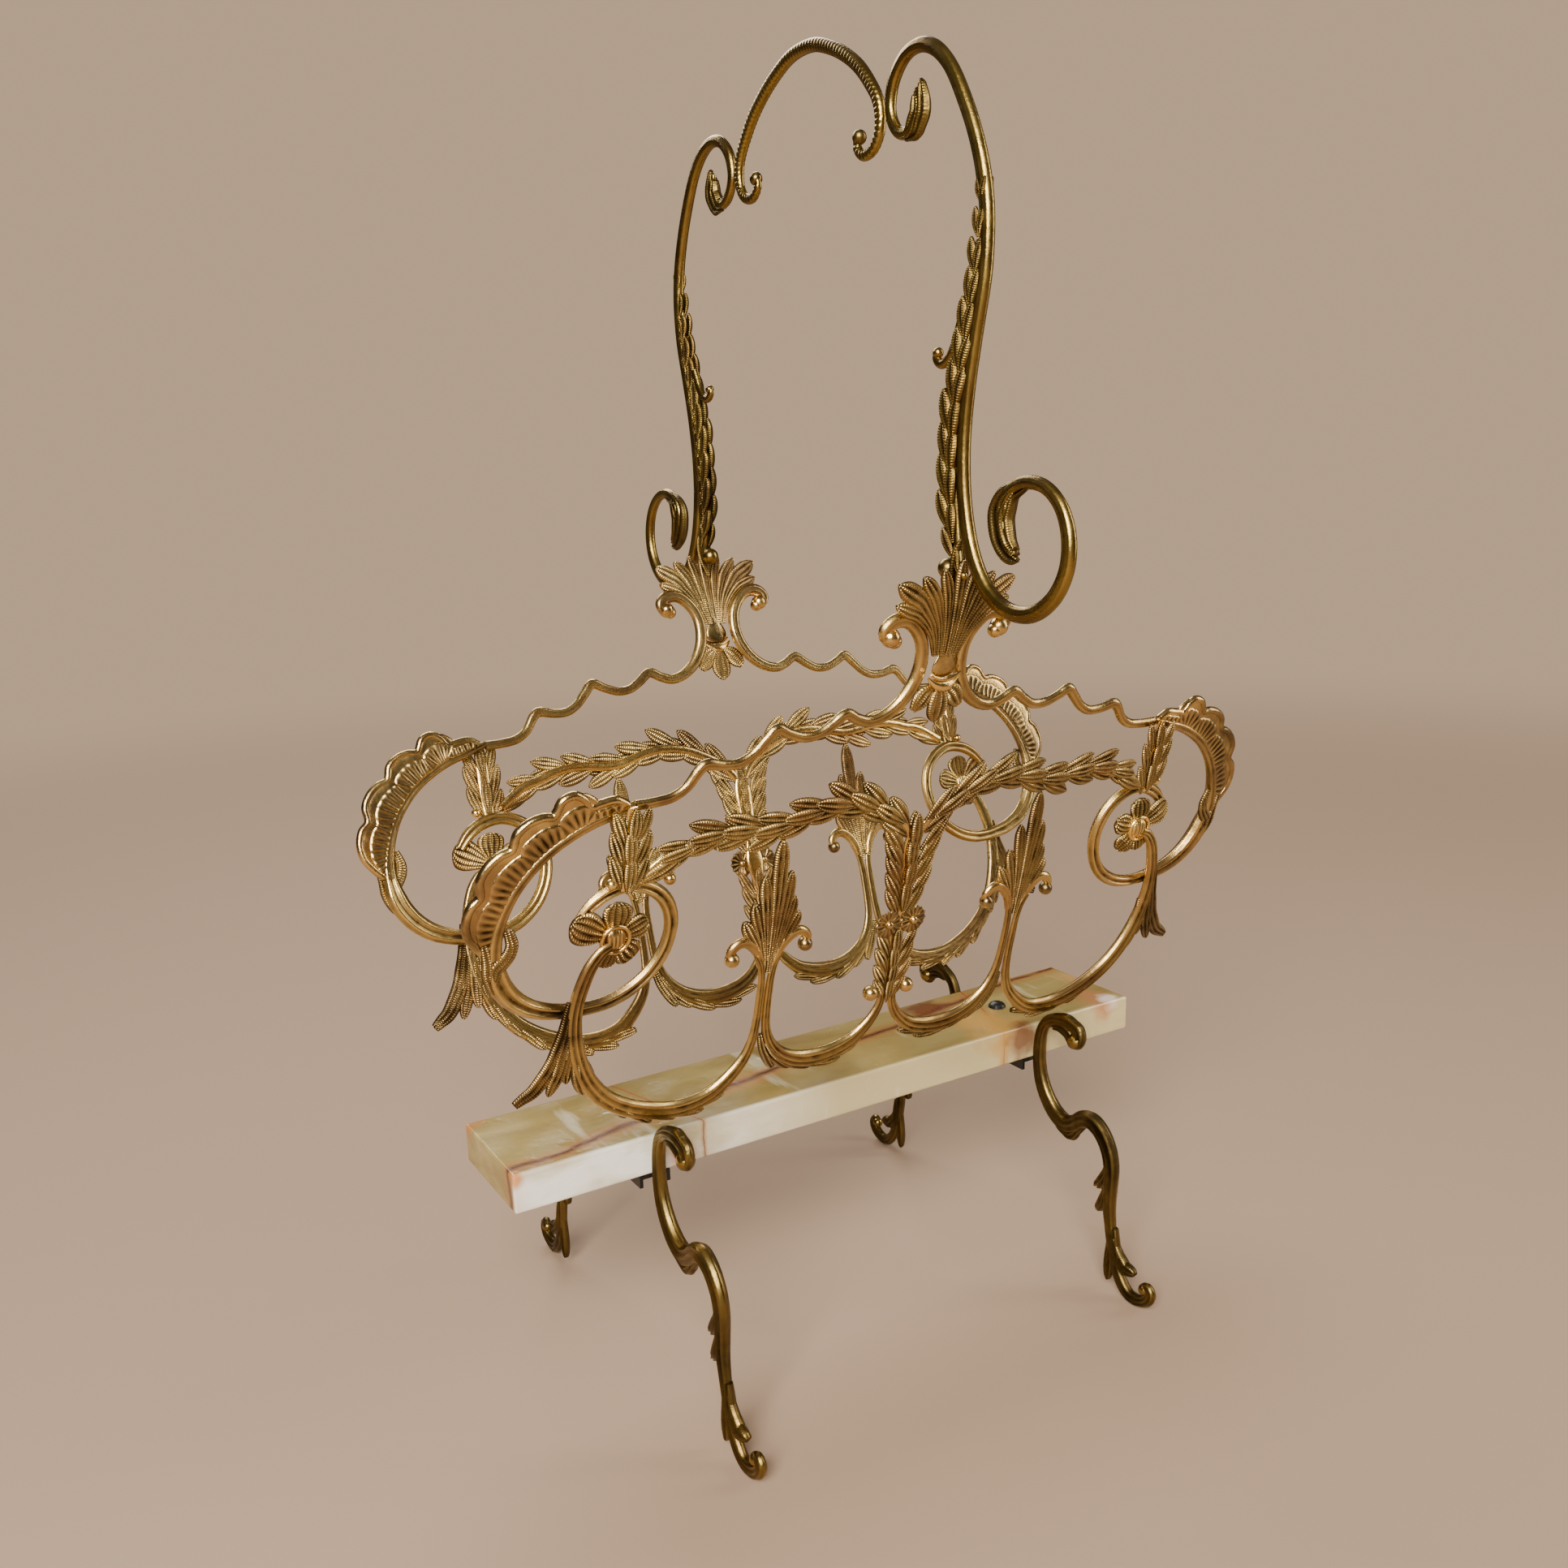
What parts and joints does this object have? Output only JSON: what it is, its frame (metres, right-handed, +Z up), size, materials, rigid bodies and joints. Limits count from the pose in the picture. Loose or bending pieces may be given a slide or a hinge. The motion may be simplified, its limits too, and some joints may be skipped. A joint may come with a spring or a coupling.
{
  "type": "magazine rack",
  "caption": "Tabletop magazine rack with leaning openwork brass panels of scrolls and leaves, an onyx slab base on cabriole legs, and a tall scrolled carrying handle.",
  "frame": {"origin": "on the floor, at the middle of the rack", "axes": "+X along the rack, +Y from the front panel to the back panel, +Z up"},
  "size_m": [0.4018, 0.33, 0.5732],
  "materials": {
    "gilt_brass": "cast and gilt, worn, with coppery and brown patina in the recesses",
    "antique_brass": "cast, olive-brown antique patina, semi-gloss",
    "dark_steel": "dark oxidised sheet and fasteners",
    "onyx": "polished honey-green onyx with brown and rust veins and white clouds"
  },
  "bodies": {
    "root": {"front_rail_left": "gilt_brass", "front_end_scroll_left": "gilt_brass", "front_end_ring_left": "gilt_brass", "front_s_scroll_left": "gilt_brass", "front_bottom_scroll_left": "gilt_brass", "front_garland_left": "gilt_brass", "front_side_garland_left": "gilt_brass", "front_spray_left": "gilt_brass", "front_flower_left": "gilt_brass", "front_rail_right": "gilt_brass", "front_end_scroll_right": "gilt_brass", "front_end_ring_right": "gilt_brass", "front_s_scroll_right": "gilt_brass", "front_bottom_scroll_right": "gilt_brass", "front_garland_right": "gilt_brass", "front_side_garland_right": "gilt_brass", "front_spray_right": "gilt_brass", "front_flower_right": "gilt_brass", "front_palmette": "gilt_brass", "front_pendant": "gilt_brass", "back_rail_left": "gilt_brass", "back_end_scroll_left": "gilt_brass", "back_end_ring_left": "gilt_brass", "back_s_scroll_left": "gilt_brass", "back_bottom_scroll_left": "gilt_brass", "back_garland_left": "gilt_brass", "back_side_garland_left": "gilt_brass", "back_spray_left": "gilt_brass", "back_flower_left": "gilt_brass", "back_rail_right": "gilt_brass", "back_end_scroll_right": "gilt_brass", "back_end_ring_right": "gilt_brass", "back_s_scroll_right": "gilt_brass", "back_bottom_scroll_right": "gilt_brass", "back_garland_right": "gilt_brass", "back_side_garland_right": "gilt_brass", "back_spray_right": "gilt_brass", "back_flower_right": "gilt_brass", "back_palmette": "gilt_brass", "back_pendant": "gilt_brass", "leg_front_left": "antique_brass", "leg_front_right": "antique_brass", "handle_arm_front": "antique_brass", "ball_screw_front": "antique_brass", "leg_back_left": "antique_brass", "leg_back_right": "antique_brass", "handle_arm_back": "antique_brass", "ball_screw_back": "antique_brass", "handle_arch": "antique_brass", "onyx_slab": "onyx", "strap_left": "dark_steel", "bolt_left": "dark_steel", "washer_left": "dark_steel", "nut_left": "dark_steel", "strap_right": "dark_steel", "bolt_right": "dark_steel", "washer_right": "dark_steel", "nut_right": "dark_steel"}
  },
  "joints": []
}
